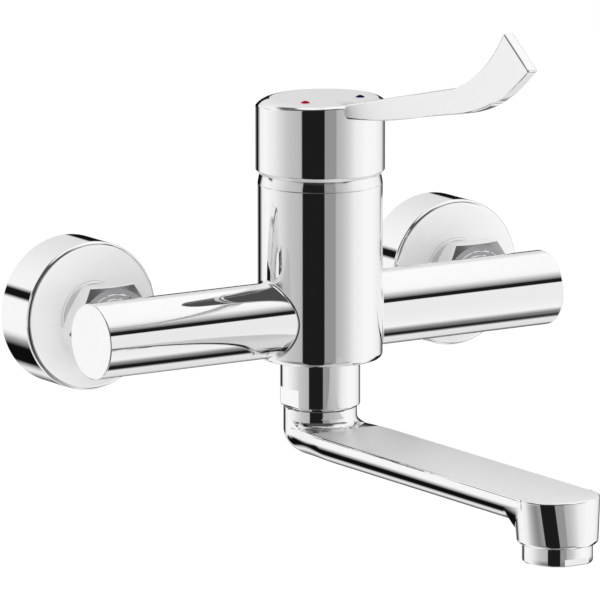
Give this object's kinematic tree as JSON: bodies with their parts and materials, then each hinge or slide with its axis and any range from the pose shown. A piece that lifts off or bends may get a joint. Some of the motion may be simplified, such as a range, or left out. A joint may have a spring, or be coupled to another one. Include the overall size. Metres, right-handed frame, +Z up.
{
  "type": "elbow lever tap",
  "caption": "Wall-mounted chrome mixer tap: upright barrel on a cross tube with offset wall unions, long elbow lever on the cap and a swinging flat spout under the barrel.",
  "frame": {"origin": "on the wall plane, midway between the axes of the two wall inlets", "axes": "+X to the cold side, +Y into the wall, +Z up; the spout and the lever point along -Y at rest"},
  "size_m": [0.2018, 0.22, 0.1747],
  "materials": {
    "chrome": "mirror polished",
    "brass": "turned, unplated",
    "steel": "turned stainless steel",
    "ceramic": "lapped ceramic",
    "cartridge_plastic": "moulded, satin",
    "guide_plastic": "moulded, satin",
    "limit_plastic": "moulded, satin",
    "rubber": "moulded, matt",
    "red_inlay": "smooth enamel",
    "blue_inlay": "smooth enamel",
    "aerator_plastic": "moulded, satin"
  },
  "bodies": {
    "tap": {"mixer_body": "chrome", "dome_cover": "chrome", "cartridge_nut": "brass", "cartridge_housing": "cartridge_plastic", "cartridge_base": "cartridge_plastic", "floor_seals": "rubber", "disc_seals": "rubber", "fixed_disc": "ceramic", "limit_ring": "limit_plastic", "spout_nut": "chrome", "spout_retaining_ring": "guide_plastic", "left_inlet_nipple": "brass", "left_union_nut": "chrome", "left_filter_washer": "rubber", "left_offset_union": "chrome", "left_escutcheon": "chrome", "right_inlet_nipple": "brass", "right_union_nut": "chrome", "right_filter_washer": "rubber", "right_offset_union": "chrome", "right_escutcheon": "chrome"},
    "stem_rotor": {"stem_guide": "guide_plastic", "stem_pin": "steel"},
    "handle": {"lever_handle": "chrome", "grub_screw": "steel", "hot_indicator": "red_inlay", "cold_indicator": "blue_inlay", "stem": "steel"},
    "disc": {"moving_disc": "ceramic", "disc_carrier": "guide_plastic"},
    "spout": {"spout": "chrome", "spout_o_rings": "rubber", "aerator_ring": "chrome", "aerator_insert": "aerator_plastic", "aerator_seal": "rubber"}
  },
  "joints": [
    {"name": "handle_turn", "type": "hinge", "parent": "tap", "child": "stem_rotor", "pos_m": [0, -0.046, 0.041], "axis": [0, 0, 1], "range_deg": [-45, 45]},
    {"name": "handle_lift", "type": "hinge", "parent": "stem_rotor", "child": "handle", "pos_m": [0, -0.046, 0.041], "axis": [-1, 0, 0], "range_deg": [0, 22]},
    {"name": "disc_slide", "type": "slide", "parent": "stem_rotor", "child": "disc", "axis": [0, -1, 0], "range_m": [0, 0.0033]},
    {"name": "spout_swing", "type": "hinge", "parent": "tap", "child": "spout", "pos_m": [0, -0.046, -0.04], "axis": [0, 0, 1], "range_deg": [-100, 100]}
  ],
  "couplings": [
    {"joint": "disc_slide", "follows": "handle_lift", "m_per_rad": 0.00833}
  ]
}
